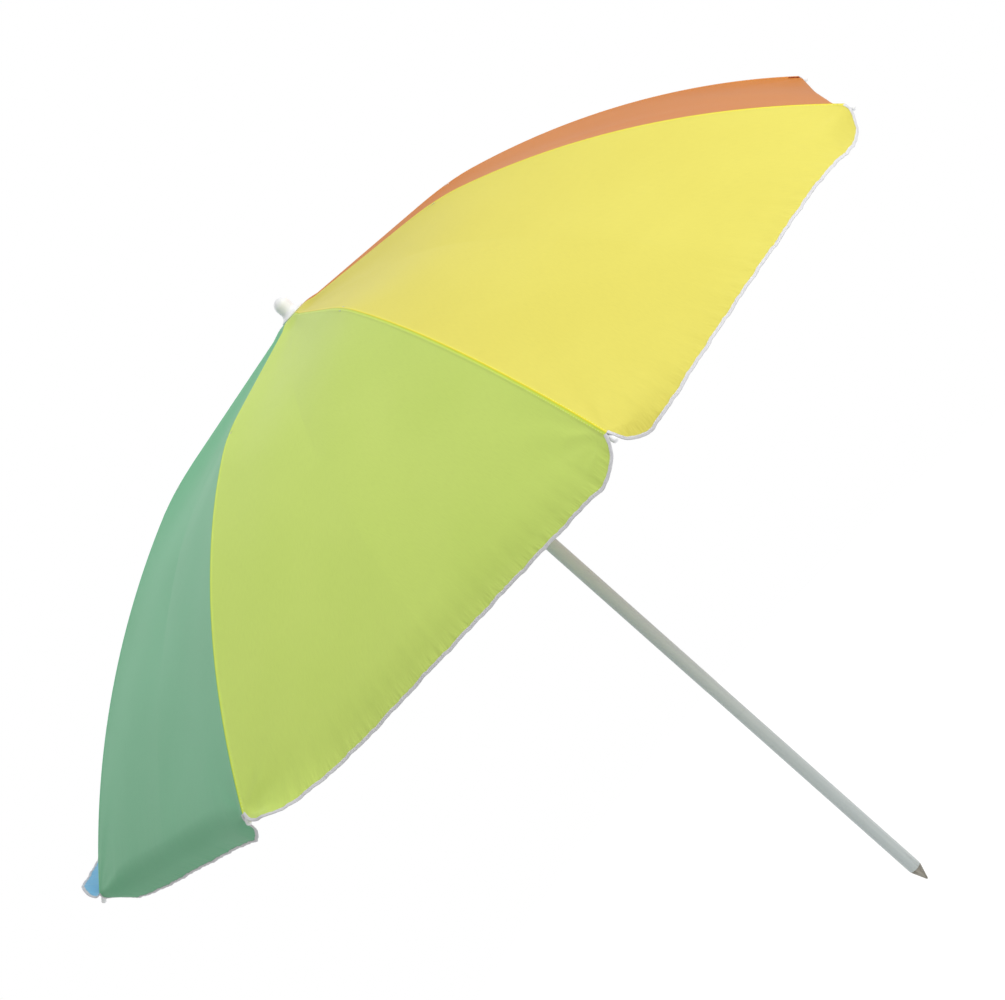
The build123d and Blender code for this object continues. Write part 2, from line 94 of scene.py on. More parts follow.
# ---------------------------------------------------------------- node materials
class Shader:
    """A material that is put together from nodes, one call each."""

    def __init__(self, name):
        self.material = bpy.data.materials.new(name)
        self.material.use_nodes = True
        self.tree = self.material.node_tree
        self.tree.nodes.clear()
        self.out = self.tree.nodes.new("ShaderNodeOutputMaterial")

    def node(self, kind, values=None, **settings):
        made = self.tree.nodes.new("ShaderNode" + kind)
        for name, value in settings.items():
            setattr(made, name, value)
        for name, value in (values or {}).items():
            if isinstance(value, bpy.types.NodeSocket):
                self.tree.links.new(value, made.inputs[name])
            else:
                made.inputs[name].default_value = value
        return made

    def math(self, operation, a, b=0.0, c=0.0):
        return self.node("Math", {0: a, 1: b, 2: c}, operation=operation).outputs[0]

    def mix(self, factor, a, b, blend="MIX"):
        made = self.node("Mix", data_type="RGBA", blend_type=blend)
        for at, value in ((0, factor), (6, a), (7, b)):
            if isinstance(value, bpy.types.NodeSocket):
                self.tree.links.new(value, made.inputs[at])
            else:
                made.inputs[at].default_value = value
        return made.outputs[2]

    def noise(self, scale, detail=2.0, stretch=(1, 1, 1), where=None):
        at = where or self.node("TexCoord").outputs["Object"]
        at = self.node("Mapping", {"Vector": at, "Scale": stretch}).outputs[0]
        made = self.node("TexNoise", {"Vector": at, "Scale": scale, "Detail": detail})
        return made.outputs["Fac"]

    def between(self, value, low, high, start=0.0, end=1.0):
        """start where value is under low, end over high, and smooth in between."""
        made = self.node("MapRange", interpolation_type="SMOOTHSTEP")
        names = ("Value", "From Min", "From Max", "To Min", "To Max")
        for name, v in zip(names, (value, low, high, start, end)):
            if isinstance(v, bpy.types.NodeSocket):
                self.tree.links.new(v, made.inputs[name])
            else:
                made.inputs[name].default_value = v
        return made.outputs[0]

    def finish(self, surface):
        self.tree.links.new(surface, self.out.inputs["Surface"])
        return self.material


def rgb(red, green, blue):
    """A colour of 0 to 255 screen values as the linear colour that nodes take."""
    def linear(v):
        v /= 255
        return v / 12.92 if v <= 0.04045 else ((v + 0.055) / 1.055) ** 2.4

    return (linear(red), linear(green), linear(blue), 1.0)


def grey(value):
    return (value, value, value, 1.0)


WEAVE_PITCH = 0.0009
STITCH_PITCH = 0.0032
SEAM_WIDTH = 0.0034  # sewn allowance on each side of a rib
SEAM_STITCH = 0.0024  # its line of stitching
GATHER_SCALE = (120.0, 34.0, 1.0)  # creases for each metre along the binding, and across it
GATHER_REACH = 0.017
GATHER_HEIGHT = 0.0030
TAPE_RIB_PITCH, TAPE_CROSS_PITCH = 0.0011, 0.0008


def cloth_material(name, colour, see_through):
    """Thin plain-woven polyester, which glows a little with the light behind it."""
    s = Shader(name)
    flat = s.node("UVMap", uv_map="flat").outputs[0]
    seam = s.node("UVMap", uv_map="seam").outputs[0]
    part = s.node("SeparateXYZ", {0: flat}).outputs
    warp = s.math("SINE", s.math("MULTIPLY", part[0], 2 * math.pi / WEAVE_PITCH))
    weft = s.math("SINE", s.math("MULTIPLY", part[1], 2 * math.pi / WEAVE_PITCH))
    weave = s.math("MULTIPLY", warp, weft)
    slub = s.noise(90.0, 3.0, (1, 14, 1), flat)
    cloud = s.noise(5.5, 3.0)
    fold = s.noise(26.0, 2.0, (1.0, 0.35, 1.0), flat)
    hem = s.node("UVMap", uv_map="hem").outputs[0]  # arc length along the hem, and distance from it
    gather = s.noise(1.0, 2.0, GATHER_SCALE, hem)
    near_hem = s.between(s.node("SeparateXYZ", {0: hem}).outputs[1], 0.002, GATHER_REACH, 1.0, 0.0)

    across = s.node("SeparateXYZ", {0: seam}).outputs
    allowance = s.between(across[0], SEAM_WIDTH - 0.0006, SEAM_WIDTH + 0.0002, 1.0, 0.0)
    join = s.between(across[0], 0.0004, 0.0011, 1.0, 0.0)
    off_line = s.math("ABSOLUTE", s.math("SUBTRACT", across[0], SEAM_STITCH))
    on_line = s.between(off_line, 0.0003, 0.0005, 1.0, 0.0)
    beat = s.math("SINE", s.math("MULTIPLY", across[1], 2 * math.pi / STITCH_PITCH))
    stitch = s.math("MULTIPLY", on_line, s.between(beat, -0.5, -0.1))

    deep = s.node("HueSaturation", {"Saturation": 1.16, "Value": 1.0, "Color": colour}).outputs[0]
    tone = s.mix(allowance, colour, deep)
    tone = s.mix(s.between(cloud, 0.3, 0.7, 0.0, 0.10), tone, grey(1.0), "SOFT_LIGHT")
    tone = s.mix(s.between(slub, 0.35, 0.75, 0.0, 0.05), tone, grey(0.35), "MULTIPLY")
    tone = s.mix(s.between(weave, -1.0, 1.0, 0.0, 0.06), tone, grey(0.4), "MULTIPLY")
    tone = s.mix(s.math("MULTIPLY", join, 0.22), tone, grey(0.12), "MULTIPLY")
    thread = s.node("HueSaturation", {"Saturation": 0.75, "Value": 1.12, "Color": colour}).outputs[0]
    tone = s.mix(s.math("MULTIPLY", stitch, 0.7), tone, thread)

    height = s.math("MULTIPLY_ADD", weave, 0.00003, s.math("MULTIPLY", stitch, 0.00012))
    height = s.math("MULTIPLY_ADD", slub, 0.00003, height)
    height = s.math("MULTIPLY_ADD", fold, 0.0006, height)
    height = s.math("MULTIPLY_ADD", s.math("MULTIPLY", gather, near_hem), GATHER_HEIGHT, height)
    bump = s.node("Bump", {"Height": height, "Distance": 1.0, "Strength": 0.6}).outputs[0]
    face = s.node("BsdfPrincipled", {
        "Base Color": tone, "Roughness": 0.62, "Specular IOR Level": 0.28,
        "Sheen Weight": 0.22, "Sheen Roughness": 0.45, "Normal": bump,
    }).outputs[0]
    glow = s.node("BsdfTranslucent", {"Color": tone, "Normal": bump}).outputs[0]
    share = s.between(allowance, 0.0, 1.0, see_through, see_through * 0.45)
    mixed = s.node("MixShader", {0: share, 1: face, 2: glow}).outputs[0]
    return s.finish(mixed)


def tape_material():
    """White cotton binding, a coarser weave than the canopy's."""
    s = Shader("hem_binding")
    flat = s.node("UVMap", uv_map="flat").outputs[0]
    part = s.node("SeparateXYZ", {0: flat}).outputs
    rib = s.math("SINE", s.math("MULTIPLY", part[0], 2 * math.pi / TAPE_RIB_PITCH))
    cross = s.math("SINE", s.math("MULTIPLY", part[1], 2 * math.pi / TAPE_CROSS_PITCH))
    weave = s.math("MULTIPLY", rib, cross)
    soil = s.noise(14.0, 4.0)
    tone = s.mix(s.between(soil, 0.45, 0.75, 0.0, 0.35), rgb(218, 218, 221), rgb(196, 194, 194))
    tone = s.mix(s.between(weave, -1.0, 1.0, 0.0, 0.12), tone, grey(0.5), "MULTIPLY")
    height = s.math("MULTIPLY", weave, 0.00006)
    bump = s.node("Bump", {"Height": height, "Distance": 1.0, "Strength": 0.8}).outputs[0]
    face = s.node("BsdfPrincipled", {
        "Base Color": tone, "Roughness": 0.8, "Specular IOR Level": 0.2,
        "Sheen Weight": 0.2, "Normal": bump,
    }).outputs[0]
    glow = s.node("BsdfTranslucent", {"Color": tone, "Normal": bump}).outputs[0]
    return s.finish(s.node("MixShader", {0: 0.12, 1: face, 2: glow}).outputs[0])


def thread_material():
    """Polyester sewing thread with the twist of its plies."""
    s = Shader("sewing_thread")
    twist = s.noise(900.0, 2.0, (1, 1, 0.2))
    tone = s.mix(s.between(twist, 0.35, 0.65, 0.0, 0.5), rgb(235, 234, 230), rgb(196, 194, 188))
    bump = s.node("Bump", {"Height": twist, "Distance": 0.0002, "Strength": 0.6}).outputs[0]
    return s.finish(s.node("BsdfPrincipled", {
        "Base Color": tone, "Roughness": 0.55, "Sheen Weight": 0.3, "Normal": bump,
    }).outputs[0])


def pole_material():
    """Pale grey lacquer on the steel tube: painted gloss in lighter streaks along it, painted shade towards
    its foot, faint orange peel and rubbed marks low down.
    """
    s = Shader("pole_lacquer")
    height = s.node("SeparateXYZ", {0: s.node("TexCoord").outputs["Object"]}).outputs[2]
    # streaks along the tube, used below as painted gloss
    drawn = s.noise(150.0, 3.0, (1, 1, 0.02))
    peel = s.noise(420.0, 2.0)
    patch = s.noise(9.0, 4.0, (1, 1, 0.4))
    rub = s.noise(60.0, 6.0, (1, 1, 0.15))
    low = s.between(height, 0.10, 0.46, 1.0, 0.15)
    worn = s.math("MULTIPLY", s.between(rub, 0.60, 0.72), low)
    # painted shade: the lacquer darkens and turns bluer towards the foot, and lightens towards the top
    tone = s.mix(s.between(height, 0.2, 0.95), rgb(176, 184, 185), rgb(193, 197, 190))
    tone = s.mix(s.between(patch, 0.35, 0.7, 0.0, 0.30), tone, rgb(163, 171, 172))
    # painted gloss: lighter streaks that run along the tube stand in for the lacquer's sheen
    tone = s.mix(s.between(drawn, 0.4, 0.7, 0.0, 0.14), tone, rgb(214, 218, 214))
    tone = s.mix(s.math("MULTIPLY", worn, 0.6), tone, rgb(132, 134, 130))
    rough = s.math("MULTIPLY_ADD", worn, 0.25, s.between(patch, 0.3, 0.7, 0.30, 0.42))
    bumps = s.math("MULTIPLY_ADD", peel, 0.00002, s.math("MULTIPLY", worn, -0.00003))
    bump = s.node("Bump", {"Height": bumps, "Distance": 1.0, "Strength": 0.5}).outputs[0]
    return s.finish(s.node("BsdfPrincipled", {
        "Base Color": tone, "Roughness": rough, "Specular IOR Level": 0.5,
        "Coat Weight": 0.25, "Coat Roughness": 0.2, "Normal": bump,
    }).outputs[0])


def plastic_material():
    """White moulded plastic, matt from the mould and a little yellowed in random patches."""
    s = Shader("white_moulding")
    spark = s.noise(650.0, 2.0)
    flow = s.noise(22.0, 4.0, (1, 1, 0.5))
    scuff = s.noise(130.0, 6.0, (1, 1, 0.3))
    tone = s.mix(s.between(flow, 0.35, 0.7, 0.0, 0.5), rgb(232, 233, 235), rgb(221, 221, 218))
    tone = s.mix(s.between(scuff, 0.62, 0.75, 0.0, 0.30), tone, rgb(196, 196, 190))
    rough = s.between(scuff, 0.4, 0.7, 0.34, 0.55)
    bump = s.node("Bump", {"Height": spark, "Distance": 0.00006, "Strength": 0.5}).outputs[0]
    return s.finish(s.node("BsdfPrincipled", {
        "Base Color": tone, "Roughness": rough, "Subsurface Weight": 0.15,
        "Subsurface Radius": (0.002, 0.002, 0.0018), "Subsurface Scale": 1.0, "Normal": bump,
    }).outputs[0])


def metal_material(name, clean, dull, metallic, roughness, streak):
    """Metal with drawn streaks and duller spots."""
    s = Shader(name)
    lines = s.noise(220.0, 4.0, streak)
    spots = s.noise(75.0, 5.0)
    tone = s.mix(s.between(lines, 0.35, 0.65, 0.0, 0.6), clean, dull)
    tone = s.mix(s.between(spots, 0.58, 0.72, 0.0, 0.5), tone, dull)
    rough = s.between(spots, 0.35, 0.7, roughness, roughness + 0.22)
    bump = s.node("Bump", {"Height": lines, "Distance": 0.00008, "Strength": 0.5}).outputs[0]
    return s.finish(s.node("BsdfPrincipled", {
        "Base Color": tone, "Metallic": metallic, "Roughness": rough, "Normal": bump,
    }).outputs[0])


def rib_material():
    """White enamel on the rib wires, rubbed thin in places."""
    s = Shader("rib_enamel")
    peel = s.noise(500.0, 2.0)
    rub = s.noise(48.0, 6.0)
    tone = s.mix(s.between(rub, 0.60, 0.70, 0.0, 0.55), rgb(228, 230, 228), rgb(150, 150, 146))
    rough = s.between(rub, 0.4, 0.7, 0.32, 0.5)
    bump = s.node("Bump", {"Height": peel, "Distance": 0.00006, "Strength": 0.4}).outputs[0]
    return s.finish(s.node("BsdfPrincipled", {
        "Base Color": tone, "Roughness": rough, "Normal": bump,
    }).outputs[0])


FABRIC_TONES = {
    "red": rgb(203, 66, 62),
    "violet": rgb(150, 104, 172),
    "indigo": rgb(88, 112, 188),
    "blue": rgb(140, 206, 236),
    "green": rgb(123, 200, 154),
    "lime": rgb(210, 230, 117),
    "yellow": rgb(226, 217, 96),
    "orange": rgb(214, 129, 38),
}
SEE_THROUGH = 0.24
fabric = {c: cloth_material("canopy_" + c, t, SEE_THROUGH) for c, t in FABRIC_TONES.items()}
tape, thread = tape_material(), thread_material()
pole_paint, white_plastic, rib_paint = pole_material(), plastic_material(), rib_material()
bright_steel = metal_material(
    "zinc_plated_steel", clean=rgb(208, 208, 206), dull=rgb(140, 142, 144),
    metallic=0.9, roughness=0.28, streak=(1, 1, 1),
)
spike_steel = metal_material(
    "spike_steel", clean=rgb(150, 146, 136), dull=rgb(96, 92, 82),
    metallic=0.35, roughness=0.5, streak=(1, 1, 0.1),
)
SLOTS = {
    "pole_paint": pole_paint, "spike_steel": spike_steel, "white_plastic": white_plastic,
    "rib_paint": rib_paint, "bright_steel": bright_steel,
}


def dress_cad_nodes():
    """Every CAD node that stays in view takes the material of its slot in the record."""
    slot_of = {}
    for row in frame["record"]["subparts"]:
        slot_of[row["node"]] = row["material_slot"]
    for name, node in frame["nodes"].items():
        wanted = SLOTS.get(slot_of.get(name))
        if wanted is not None:
            node.data.materials.clear()
            node.data.materials.append(wanted)


# ---------------------------------------------------------------- the shape of a gore
def hem_table(steps=400):
    """Points along half a hem, from the rib's tip to the middle line, as columns x, y, arc length."""
    turn = np.linspace(0, math.pi / 2, steps)
    x = np.concatenate([tip_x + FLAP_DEPTH * np.sin(turn), [tip_x + FLAP_DEPTH]])
    y = np.concatenate([tip_y - FLAP_CORNER * (1 - np.cos(turn)), [0.0]])
    along = np.concatenate([[0], np.cumsum(np.hypot(np.diff(x), np.diff(y)))])
    return x, y, along


HEM_X, HEM_Y, HEM_S = hem_table()
HEM_LENGTH = HEM_S[-1]
HEM_SEAM = HEM_X * math.sin(HALF) - HEM_Y * math.cos(HALF)  # distance from the rib's plane


# How each hem hangs: how far the line between its rib tips sags inwards, the degrees that the flap past
# that line bends inwards at the gore's first rib, its middle and its last rib, and how far the stretch
# of the cloth draws the middle of the hem in.
HANG = {
    "red": (0.012, 60, 35, 45, 0.004),
    "violet": (0.004, 35, 15, 30, 0.004),
    "indigo": (0.002, 20, 10, -20, 0.004),
    "blue": (0.0, 0, -72, -90, 0.0),
    "green": (0.0, 85, 65, 60, 0.0),
    "lime": (0.003, -32, 14, 10, 0.001),
    "yellow": (0.0, 48, -2, 41, 0.002),
    "orange": (0.022, 95, 60, 90, 0.018),
}
DRAW_FROM = 0.60  # the cloth is drawn in from this radius outwards
PHASE_SEED = 40
TIP_FALL = math.atan(math.tan(math.radians(TIP_DEG)) / math.cos(HALF))  # slope of the gore at the line
NOT_ZERO = 1e-4  # added to a curvature that it divides by
BEND_LENGTH = 0.034  # the flap bends over this width of cloth in the middle of a gore
OWN_BEND_LENGTH = {"orange": 0.014, "blue": 0.016, "green": 0.050}  # or over this, in these gores
TIP_BEND_LENGTH = 0.014  # and over this beside a rib's tip
TIP_BEND_REACH = 0.060
BEND_REACH = 0.085  # the flap takes up the middle's bend this far from a rib
BEND_LEAD = 0.4  # share of the bend that lies inside the line, away from the ribs


def hump(distance):
    """1 at no distance, and falling smoothly to 0."""
    return np.exp(-(distance**2))


def bend_flap(gore, x, y, z):
    """New x and z of the cloth, once the part past the line between the rib tips is bent."""
    length = OWN_BEND_LENGTH.get(COLOURS[gore - 1], BEND_LENGTH)
    length = length + (TIP_BEND_LENGTH - length) * hump((np.abs(y) - tip_y) / TIP_BEND_REACH)
    first, middle, last = np.radians(HANG[COLOURS[gore - 1]][1:4])
    total = middle + (first - middle) * hump((y + tip_y) / BEND_REACH)
    total = total + (last - middle) * hump((y - tip_y) / BEND_REACH)
    lead = BEND_LEAD * length * np.clip(1 - np.abs(y / tip_y) ** 4, 0, 1)
    past = np.maximum(x - tip_x + lead, 0) / math.cos(TIP_FALL)
    rate = total / length + NOT_ZERO
    curved = np.minimum(past, length)
    straight = past - curved
    turned = TIP_FALL + rate * curved
    run = (np.sin(turned) - math.sin(TIP_FALL)) / rate + straight * np.cos(TIP_FALL + total)
    drop = (math.cos(TIP_FALL) - np.cos(turned)) / rate + straight * np.sin(TIP_FALL + total)
    return x + run - past * math.cos(TIP_FALL), z - drop + past * math.sin(TIP_FALL)


def draw_in(gore, x, y):
    """New x of the cloth, once the middle of its hem is drawn in towards the pole."""
    share = np.clip((x - DRAW_FROM) / (tip_x - DRAW_FROM), 0, 1) ** 2
    return x - HANG[COLOURS[gore - 1]][4] * share * np.clip(1 - (y / tip_y) ** 2, 0, 1)


def random_phases(gore, count):
    return np.random.default_rng(PHASE_SEED + gore).uniform(0, 2 * math.pi, count)


def smooth_min(a, b, k):
    share = np.clip(0.5 + 0.5 * (b - a) / k, 0, 1)
    return b * (1 - share) + a * share - k * share * (1 - share)


PUCKER_WAVES = ((0.0115, 0.35), (0.0178, 0.5), (0.031, 0.9), (0.064, 1.0))  # length and weight of each
PUCKER = 0.0007
PUCKER_MIDDLE, PUCKER_MORE = 0.55, 0.8  # share of it in the middle of a hem, and what its ends add
PUCKER_ENDS, PUCKER_FADE = 0.12, 0.09  # a hem's end starts this far from its rib, and builds up over this
PUCKER_REACH = 0.028  # the puckers die out over this distance from the hem
SWAY = 0.0028  # long soft waves over a whole gore
SWAY_WAVES, SWAY_SKEW = 1.9, 4 / 3  # waves for each metre outwards, and sideways
SWAY_FULL = 0.4  # they have their full height from this radius
SAG_SPAN = 0.82  # radius over which the sag of a gore rises and falls
FOLD_AT_TIP = 0.0050  # folds that fan out from a rib's tip
FOLD_REACH = 0.055
FOLD_START = 0.018  # the folds are full this far from the tip
FOLD_COUNTS = (7, 13)  # waves of the folds around a tip, for each radian


def gore_height(gore, x, y, hem_s, hem_d):
    """Height of gore's cloth over a point of its plan.

    hem_s is signed arc length along the hem from the middle line, and hem_d the distance from the hem.
    """
    y_seam = np.minimum(x * math.tan(HALF), tip_y)
    w = np.clip(np.abs(y) / np.maximum(y_seam, 1e-6), 0, 1)
    r = x / math.cos(HALF)
    line = CANOPY_TOP - SLOPE * r
    arc = arc_z + np.sqrt(np.maximum(RIDGE_ARC**2 - (r - arc_x) ** 2, 0))
    inward = 1 - w**2
    z = smooth_min(line, arc, CREASE_RIB + (CREASE_MIDDLE - CREASE_RIB) * inward)
    z -= SAG * inward * np.sin(math.pi * np.clip(x / SAG_SPAN, 0, 1))
    hem_sag = HANG[COLOURS[gore - 1]][0]
    z -= hem_sag * (1 - w**8) * np.clip((x - KNEE) / (tip_x - KNEE), 0, 1) ** 3

    free = np.clip((np.hypot(x, y) - CLAMP_R) / (CLAMP_FADE - CLAMP_R), 0, 1)
    held = 1 - free * free * (3 - 2 * free)
    z += held * (CANOPY_TOP - CLAMP_DROP - z)

    phase = random_phases(gore, 12)
    ripple = sum(
        size * np.sin(2 * math.pi * hem_s / wave + phase[i]) for i, (wave, size) in enumerate(PUCKER_WAVES)
    )
    end = np.clip((np.abs(hem_s) - (HEM_LENGTH - PUCKER_ENDS)) / PUCKER_FADE, 0, 1)
    lift = PUCKER * (PUCKER_MIDDLE + PUCKER_MORE * end)
    z += lift * ripple * np.exp(-hem_d / PUCKER_REACH) * np.clip(1.0 - w**6, 0, 1)

    near = np.hypot(x - tip_x, np.abs(y) - tip_y)
    bearing = np.arctan2(tip_y - np.abs(y), tip_x - x) - HALF  # 0 along the rib, inwards
    side = np.where(y > 0, 0, 4)
    broad, fine = FOLD_COUNTS
    folds = np.sin(broad * bearing + phase[5] + side) + 0.7 * np.sin(fine * bearing + phase[6] - side)
    fade = np.clip(near / FOLD_START, 0, 1) * np.exp(-near / FOLD_REACH)
    fade = fade * np.clip(np.abs(bearing) * 2.2, 0, 1)
    z -= FOLD_AT_TIP * fade * (0.7 + folds * 0.6) * np.clip(1.05 - w**8, 0, 1)

    sway = np.sin(2 * math.pi * (x * SWAY_WAVES + SWAY_SKEW * y) + phase[8]) * np.sin(math.pi * w)
    z += SWAY * sway * np.clip(x / SWAY_FULL, 0, 1) * inward
    return z


SEAM_COLUMNS = (0.0, 0.0006, 0.0012, 0.0022, 0.0032, 0.0038)
SEAM_RAISE = (0.0, 0.0002, 0.00025, 0.00025, 0.0002, 0.0)
NARROW = 0.040  # where a half gore is narrower than this, its seam columns close up
CROWN_R = 0.040  # the rows change their spacing at this radius
EDGE_SHARE = 0.9  # and again at this share of the way from the knees to the hem
FAR = 9.0  # a distance from the hem that no pucker reaches


def column_shares(count):
    return np.linspace(0, 1, count + 1)[1:]


def inner_rows(rows, columns):
    """Plan of the half gore inside the knees, in the rib's own axes.

    x runs out along the rib and t away from it.
    """
    shares = column_shares(columns)
    out_x, out_t, raised = [], [], []
    for r in np.concatenate([np.linspace(HOLE, CROWN_R, 6)[:-1], np.linspace(CROWN_R, KNEE, rows)]):
        width = r * math.tan(HALF)
        scale = min(1.0, width / NARROW)
        first = np.array(SEAM_COLUMNS) * scale
        t = np.concatenate([first, first[-1] + (width - first[-1]) * shares])
        round_off = 1 - np.clip((r - HOLE) / CLAMP_FADE, 0, 1)  # circles at the hole, straight rows outside
        turn = np.arctan2(t, r)
        reach = np.hypot(t, r) * (1 - round_off) + r * round_off
        out_x.append(reach * np.cos(turn))
        out_t.append(reach * np.sin(turn))
        raised.append(np.concatenate([np.array(SEAM_RAISE) * scale, np.zeros(len(shares))]))
    x, t = np.array(out_x), np.array(out_t)
    return x, t, np.zeros_like(x), np.full_like(x, FAR), np.array(raised)


def outer_rows(rows, edge_rows, columns):
    """Plan of the half gore from the knees to the hem."""
    shares = column_shares(columns)
    first = np.array(SEAM_COLUMNS)
    start_s = np.interp(first, HEM_SEAM, HEM_S)
    hem_s = np.concatenate([start_s, start_s[-1] + (HEM_LENGTH - start_s[-1]) * shares])
    hx, hy = np.interp(hem_s, HEM_S, HEM_X), np.interp(hem_s, HEM_S, HEM_Y)
    end_x = hx * math.cos(HALF) + hy * math.sin(HALF)
    end_t = hx * math.sin(HALF) - hy * math.cos(HALF)
    width = KNEE * math.tan(HALF)
    way = (hem_s[len(first):] - start_s[-1]) / (HEM_LENGTH - start_s[-1])
    start_t = np.concatenate([first, first[-1] + (width - first[-1]) * way])
    coarse = np.linspace(0, EDGE_SHARE, rows, endpoint=False)
    share = np.concatenate([coarse, np.linspace(EDGE_SHARE, 1.0, edge_rows)])[:, None]
    x = KNEE + (end_x - KNEE) * share
    t = start_t + (end_t - start_t) * share
    hem_d = (1 - share) * np.hypot(end_x - KNEE, end_t - start_t)
    raised = np.concatenate([np.array(SEAM_RAISE), np.zeros(len(shares))])
    return x, t, np.broadcast_to(hem_s - HEM_LENGTH, x.shape), hem_d, np.broadcast_to(raised, x.shape)


def rib_angle(rib):
    return STEP * (rib - 1)


def gore_of(rib, side):
    """The gore on that side of a rib: side 1 is anticlockwise of it."""
    return rib if side > 0 else (rib - 2) % RIBS + 1


def to_world(rib, side, x, t, z):
    """Points given in a rib's own axes, with t to that side of it."""
    a = rib_angle(rib)
    return np.stack([
        x * math.cos(a) - side * t * math.sin(a),
        x * math.sin(a) + side * t * math.cos(a),
        z,
    ], axis=-1)


def cloth_points(rib, side, x, t, hem_s, hem_d):
    """Points on the cloth beside a rib. hem_s is minus the arc length left to the middle line."""
    gx = x * math.cos(HALF) + t * math.sin(HALF)
    gy = -side * (x * math.sin(HALF) - t * math.cos(HALF))
    gore = gore_of(rib, side)
    gx = draw_in(gore, gx, gy)
    gx, z = bend_flap(gore, gx, gy, gore_height(gore, gx, gy, side * hem_s, hem_d))
    a = rib_angle(rib) + side * HALF
    return np.stack([gx * math.cos(a) - gy * math.sin(a), gx * math.sin(a) + gy * math.cos(a), z], axis=-1)


def grid_normals(p, side):
    """Outward directions on cloth whose rows run outwards and whose columns run away from the rib."""
    n = side * np.cross(np.gradient(p, axis=0), np.gradient(p, axis=1))
    return n / np.maximum(np.linalg.norm(n, axis=-1, keepdims=True), 1e-12)


SHARP_DEG = 50


def mesh_object(name, points, faces, materials, uvs=None, kinds=None):
    """A mesh object.

    uvs maps a layer's name to one pair for each point, and kinds gives each face's material.
    """
    mesh = bpy.data.meshes.new(name)
    mesh.from_pydata([tuple(p) for p in points], [], [tuple(int(i) for i in f) for f in faces])
    for m in materials:
        mesh.materials.append(m)
    if kinds is not None:
        mesh.polygons.foreach_set("material_index", np.array(kinds, np.int32))
    corner = np.zeros(len(mesh.loops), np.int32)
    mesh.loops.foreach_get("vertex_index", corner)
    for layer, values in (uvs or {}).items():
        mesh.uv_layers.new(name=layer).data.foreach_set("uv", np.array(values, np.float32)[corner].ravel())
    mesh.update()
    work = bmesh.new()
    work.from_mesh(mesh)
    bmesh.ops.recalc_face_normals(work, faces=work.faces)
    work.to_mesh(mesh)
    work.free()
    mesh.polygons.foreach_set("use_smooth", np.ones(len(mesh.polygons), bool))
    mesh.set_sharp_from_angle(angle=math.radians(SHARP_DEG))
    made = bpy.data.objects.new(name, mesh)
    bpy.context.scene.collection.objects.link(made)
    return made


def shell(top, side, thickness):
    """A closed shell under a grid of points: (points, faces)."""
    rows, columns = top.shape[:2]
    low = top - grid_normals(top, side) * thickness
    points = np.concatenate([top.reshape(-1, 3), low.reshape(-1, 3)])
    at = np.arange(rows * columns).reshape(rows, columns)
    under = at + rows * columns
    faces = []
    for i in range(rows - 1):
        for j in range(columns - 1):
            faces.append((at[i, j], at[i, j + 1], at[i + 1, j + 1], at[i + 1, j]))
            faces.append((under[i, j], under[i + 1, j], under[i + 1, j + 1], under[i, j + 1]))
    rim = list(at[0, :]) + list(at[1:, -1]) + list(at[-1, :-1][::-1]) + list(at[1:-1, 0][::-1])
    for a, b in zip(rim, rim[1:] + rim[:1]):
        faces.append((a, a + rows * columns, b + rows * columns, b))
    return points, faces


def grid_area(p):
    d1 = p[1:, 1:] - p[:-1, :-1]
    d2 = p[1:, :-1] - p[:-1, 1:]
    return float(np.linalg.norm(np.cross(d1, d2), axis=-1).sum() / 2)


LENGTH_ALLOWANCE = 0.04  # added to a piece's length along its seam, to give its flat length


def carried(obj, rib, outer):
    """obj moves with its rib, with a mesh of its own."""
    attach(obj, f"outer_rib_{rib}" if outer else f"rib_{rib}")
    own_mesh(obj)


def make_cloth(rib, side, outer, plan):
    """One piece of half a gore, as a sheet of cloth."""
    x, t, hem_s, hem_d, raised = plan
    colour = COLOURS[gore_of(rib, side) - 1]
    top = cloth_points(rib, side, x, t, hem_s, hem_d)
    top = top + grid_normals(top, side) * raised[..., None]
    points, faces = shell(top, side, CLOTH)
    flat = np.stack([x, side * t], axis=-1).reshape(-1, 2)
    seam = np.stack([t, x], axis=-1).reshape(-1, 2)
    name = f"canopy_{colour}_{'hem' if outer else 'crown'}_{'first' if side > 0 else 'last'}"
    hem = np.stack([side * hem_s + gore_of(rib, side), hem_d], axis=-1).reshape(-1, 2)
    uvs = {"flat": np.tile(flat, (2, 1)), "seam": np.tile(seam, (2, 1)), "hem": np.tile(hem, (2, 1))}
    obj = mesh_object(name, points, faces, [fabric[colour]], uvs)
    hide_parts("panel_" + colour)
    area = grid_area(top)
    along_rib = float(np.linalg.norm(np.diff(top[:, 0], axis=0), axis=1).sum())
    span = (float(t.max()), along_rib + LENGTH_ALLOWANCE)
    area = min(area, span[0] * span[1])
    carried(obj, rib, outer)
    return obj


# ---------------------------------------------------------------- hem binding
TAPE_WIDTH = 0.0040
TAPE_HALF_THICKNESS = 0.0007
TAPE_STEP = 0.0022
STITCH_LENGTH = 0.0022
STITCH_R = 0.00024
HEM_STEP = 1e-4  # between the points that the hem's direction is taken from
TAPE_START, FIRST_STITCH = 0.001, 0.006  # arc lengths from the rib's tip
STITCH_SEAT, STITCH_LIFT = 0.74, 0.97  # shares of the binding's width and half thickness
TAPE_WAVES = (0.0081, 0.0127)  # it is gathered in waves of these lengths
TAPE_BEAT = 0.0063  # and is thicker and thinner at this pitch
TAPE_WIDER, TAPE_THICKER = 0.07, 0.22
# Its section, as shares of its width inwards and of its half thickness upwards.
PROFILE = (
    (1.0, 0.62), (0.80, 0.95), (0.40, 1.0), (0.0, 0.92), (-0.055, 0.60), (-0.09, 0.0),
    (-0.055, -0.60), (0.0, -0.92), (0.40, -1.0), (0.80, -0.95), (1.0, -0.62),
)


